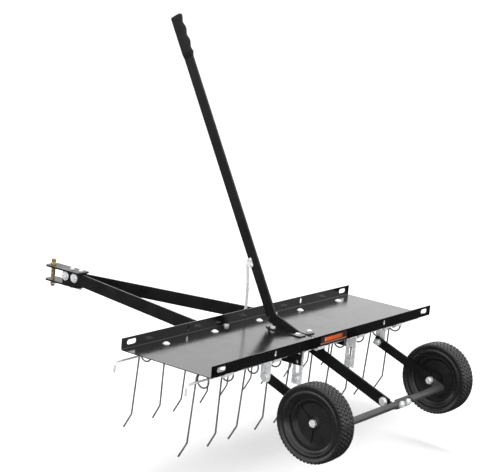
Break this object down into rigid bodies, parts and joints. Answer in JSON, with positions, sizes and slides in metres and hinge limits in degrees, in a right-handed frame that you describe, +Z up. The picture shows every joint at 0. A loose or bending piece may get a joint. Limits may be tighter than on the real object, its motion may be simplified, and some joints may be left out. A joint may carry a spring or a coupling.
{
  "type": "lawn dethatcher",
  "caption": "Tow-behind lawn dethatcher: a flat steel tray over two staggered rows of double coil spring tines, with a lever that swings two transport wheels and a two-bar clevis drawbar.",
  "frame": {"origin": "on the ground under the middle of the machine's overall length and width, tines down", "axes": "+Y forward to the hitch, +X the machine's right, +Z up"},
  "size_m": [1.074, 1.3141, 1.0365],
  "materials": {
    "deck_enamel": "gloss powder coat",
    "black_enamel": "semi-gloss powder coat",
    "zinc_plate": "zinc plated",
    "zinc_hardware": "bright zinc plated",
    "spring_steel": "grey plated spring wire",
    "tyre_rubber": "moulded tread",
    "hub_plastic": "moulded",
    "grip_vinyl": "dipped vinyl",
    "pin_brass": "yellow plated"
  },
  "bodies": {
    "deck": {"arm_pivot_bolts": "zinc_hardware", "deck_bolts": "zinc_hardware", "deck_tray": "deck_enamel", "drawbar_bolts": "zinc_hardware", "drawbar_foot_left": "zinc_plate", "drawbar_foot_right": "zinc_plate", "drawbar_left": "black_enamel", "drawbar_right": "black_enamel", "front_retaining_rod": "zinc_hardware", "front_tine_coils": "spring_steel", "hitch_bolts": "zinc_hardware", "hitch_plate_lower": "black_enamel", "hitch_plate_upper": "black_enamel", "rear_retaining_rod_left": "zinc_hardware", "rear_retaining_rod_right": "zinc_hardware", "rear_tine_coils": "spring_steel", "side_bracket_left": "zinc_plate", "side_bracket_right": "zinc_plate", "slot_plate": "deck_enamel", "slotted_hanger_left": "zinc_plate", "slotted_hanger_right": "zinc_plate", "tine_bolts": "zinc_hardware", "tine_clamps": "zinc_plate"},
    "wheel_left": {"wheel_hub_left": "hub_plastic", "tyre_left": "tyre_rubber"},
    "wheel_right": {"wheel_hub_right": "hub_plastic", "tyre_right": "tyre_rubber"},
    "hitch_pin_body": {"hitch_pin": "pin_brass"},
    "hairpin_body": {"hairpin_clip": "zinc_hardware"},
    "lift_lever": {"side_arm_left": "black_enamel", "side_arm_right": "black_enamel", "centre_arm": "black_enamel", "lift_handle": "black_enamel", "handle_grip": "grip_vinyl", "latch_strip": "zinc_plate", "latch_bolts": "zinc_hardware", "crossbar_left": "black_enamel", "crossbar_right": "black_enamel", "crossbar_bolts": "zinc_hardware", "axle_bolts": "zinc_hardware"},
    "front_tine_1": {"front_tine_1": "spring_steel"},
    "front_tine_10": {"front_tine_10": "spring_steel"},
    "front_tine_2": {"front_tine_2": "spring_steel"},
    "front_tine_3": {"front_tine_3": "spring_steel"},
    "front_tine_4": {"front_tine_4": "spring_steel"},
    "front_tine_5": {"front_tine_5": "spring_steel"},
    "front_tine_6": {"front_tine_6": "spring_steel"},
    "front_tine_7": {"front_tine_7": "spring_steel"},
    "front_tine_8": {"front_tine_8": "spring_steel"},
    "front_tine_9": {"front_tine_9": "spring_steel"},
    "rear_tine_1": {"rear_tine_1": "spring_steel"},
    "rear_tine_10": {"rear_tine_10": "spring_steel"},
    "rear_tine_2": {"rear_tine_2": "spring_steel"},
    "rear_tine_3": {"rear_tine_3": "spring_steel"},
    "rear_tine_4": {"rear_tine_4": "spring_steel"},
    "rear_tine_5": {"rear_tine_5": "spring_steel"},
    "rear_tine_6": {"rear_tine_6": "spring_steel"},
    "rear_tine_7": {"rear_tine_7": "spring_steel"},
    "rear_tine_8": {"rear_tine_8": "spring_steel"},
    "rear_tine_9": {"rear_tine_9": "spring_steel"}
  },
  "joints": [
    {"name": "lift_pivot", "type": "hinge", "parent": "deck", "child": "lift_lever", "pos_m": [0, -0.38195, 0.185], "axis": [1, 0, 0], "range_deg": [0, 40]},
    {"name": "wheel_left_spin", "type": "hinge", "parent": "lift_lever", "child": "wheel_left", "pos_m": [-0.296, -0.55905, 0.11959], "axis": [1, 0, 0], "continuous": true},
    {"name": "wheel_right_spin", "type": "hinge", "parent": "lift_lever", "child": "wheel_right", "pos_m": [0.296, -0.55905, 0.11959], "axis": [1, 0, 0], "continuous": true},
    {"name": "hitch_pin_spin", "type": "hinge", "parent": "deck", "child": "hitch_pin_body", "pos_m": [0, 0.64205, 0.2084], "axis": [0, 0, 1], "continuous": true},
    {"name": "hairpin_pull", "type": "slide", "parent": "hitch_pin_body", "child": "hairpin_body", "axis": [1, 0, 0], "range_m": [0, 0.04]},
    {"name": "front_tine_1_flex", "type": "hinge", "parent": "deck", "child": "front_tine_1", "pos_m": [-0.423, -0.11795, 0.204], "axis": [1, 0, 0], "range_deg": [-20, 12], "stiffness_Nm_per_rad": 16},
    {"name": "front_tine_10_flex", "type": "hinge", "parent": "deck", "child": "front_tine_10", "pos_m": [0.459, -0.11795, 0.204], "axis": [1, 0, 0], "range_deg": [-20, 12], "stiffness_Nm_per_rad": 16},
    {"name": "front_tine_2_flex", "type": "hinge", "parent": "deck", "child": "front_tine_2", "pos_m": [-0.323, -0.11795, 0.204], "axis": [1, 0, 0], "range_deg": [-20, 12], "stiffness_Nm_per_rad": 16},
    {"name": "front_tine_3_flex", "type": "hinge", "parent": "deck", "child": "front_tine_3", "pos_m": [-0.2275, -0.11795, 0.204], "axis": [1, 0, 0], "range_deg": [-20, 12], "stiffness_Nm_per_rad": 16},
    {"name": "front_tine_4_flex", "type": "hinge", "parent": "deck", "child": "front_tine_4", "pos_m": [-0.1275, -0.11795, 0.204], "axis": [1, 0, 0], "range_deg": [-20, 12], "stiffness_Nm_per_rad": 16},
    {"name": "front_tine_5_flex", "type": "hinge", "parent": "deck", "child": "front_tine_5", "pos_m": [-0.032, -0.11795, 0.204], "axis": [1, 0, 0], "range_deg": [-20, 12], "stiffness_Nm_per_rad": 16},
    {"name": "front_tine_6_flex", "type": "hinge", "parent": "deck", "child": "front_tine_6", "pos_m": [0.068, -0.11795, 0.204], "axis": [1, 0, 0], "range_deg": [-20, 12], "stiffness_Nm_per_rad": 16},
    {"name": "front_tine_7_flex", "type": "hinge", "parent": "deck", "child": "front_tine_7", "pos_m": [0.1635, -0.11795, 0.204], "axis": [1, 0, 0], "range_deg": [-20, 12], "stiffness_Nm_per_rad": 16},
    {"name": "front_tine_8_flex", "type": "hinge", "parent": "deck", "child": "front_tine_8", "pos_m": [0.2635, -0.11795, 0.204], "axis": [1, 0, 0], "range_deg": [-20, 12], "stiffness_Nm_per_rad": 16},
    {"name": "front_tine_9_flex", "type": "hinge", "parent": "deck", "child": "front_tine_9", "pos_m": [0.359, -0.11795, 0.204], "axis": [1, 0, 0], "range_deg": [-20, 12], "stiffness_Nm_per_rad": 16},
    {"name": "rear_tine_1_flex", "type": "hinge", "parent": "deck", "child": "rear_tine_1", "pos_m": [-0.475, -0.34595, 0.204], "axis": [1, 0, 0], "range_deg": [-20, 12], "stiffness_Nm_per_rad": 16},
    {"name": "rear_tine_10_flex", "type": "hinge", "parent": "deck", "child": "rear_tine_10", "pos_m": [0.407, -0.34595, 0.204], "axis": [1, 0, 0], "range_deg": [-20, 12], "stiffness_Nm_per_rad": 16},
    {"name": "rear_tine_2_flex", "type": "hinge", "parent": "deck", "child": "rear_tine_2", "pos_m": [-0.375, -0.34595, 0.204], "axis": [1, 0, 0], "range_deg": [-20, 12], "stiffness_Nm_per_rad": 16},
    {"name": "rear_tine_3_flex", "type": "hinge", "parent": "deck", "child": "rear_tine_3", "pos_m": [-0.2795, -0.34595, 0.204], "axis": [1, 0, 0], "range_deg": [-20, 12], "stiffness_Nm_per_rad": 16},
    {"name": "rear_tine_4_flex", "type": "hinge", "parent": "deck", "child": "rear_tine_4", "pos_m": [-0.1795, -0.34595, 0.204], "axis": [1, 0, 0], "range_deg": [-20, 12], "stiffness_Nm_per_rad": 16},
    {"name": "rear_tine_5_flex", "type": "hinge", "parent": "deck", "child": "rear_tine_5", "pos_m": [-0.084, -0.34595, 0.204], "axis": [1, 0, 0], "range_deg": [-20, 12], "stiffness_Nm_per_rad": 16},
    {"name": "rear_tine_6_flex", "type": "hinge", "parent": "deck", "child": "rear_tine_6", "pos_m": [0.016, -0.34595, 0.204], "axis": [1, 0, 0], "range_deg": [-20, 12], "stiffness_Nm_per_rad": 16},
    {"name": "rear_tine_7_flex", "type": "hinge", "parent": "deck", "child": "rear_tine_7", "pos_m": [0.1115, -0.34595, 0.204], "axis": [1, 0, 0], "range_deg": [-20, 12], "stiffness_Nm_per_rad": 16},
    {"name": "rear_tine_8_flex", "type": "hinge", "parent": "deck", "child": "rear_tine_8", "pos_m": [0.2115, -0.34595, 0.204], "axis": [1, 0, 0], "range_deg": [-20, 12], "stiffness_Nm_per_rad": 16},
    {"name": "rear_tine_9_flex", "type": "hinge", "parent": "deck", "child": "rear_tine_9", "pos_m": [0.307, -0.34595, 0.204], "axis": [1, 0, 0], "range_deg": [-20, 12], "stiffness_Nm_per_rad": 16}
  ]
}
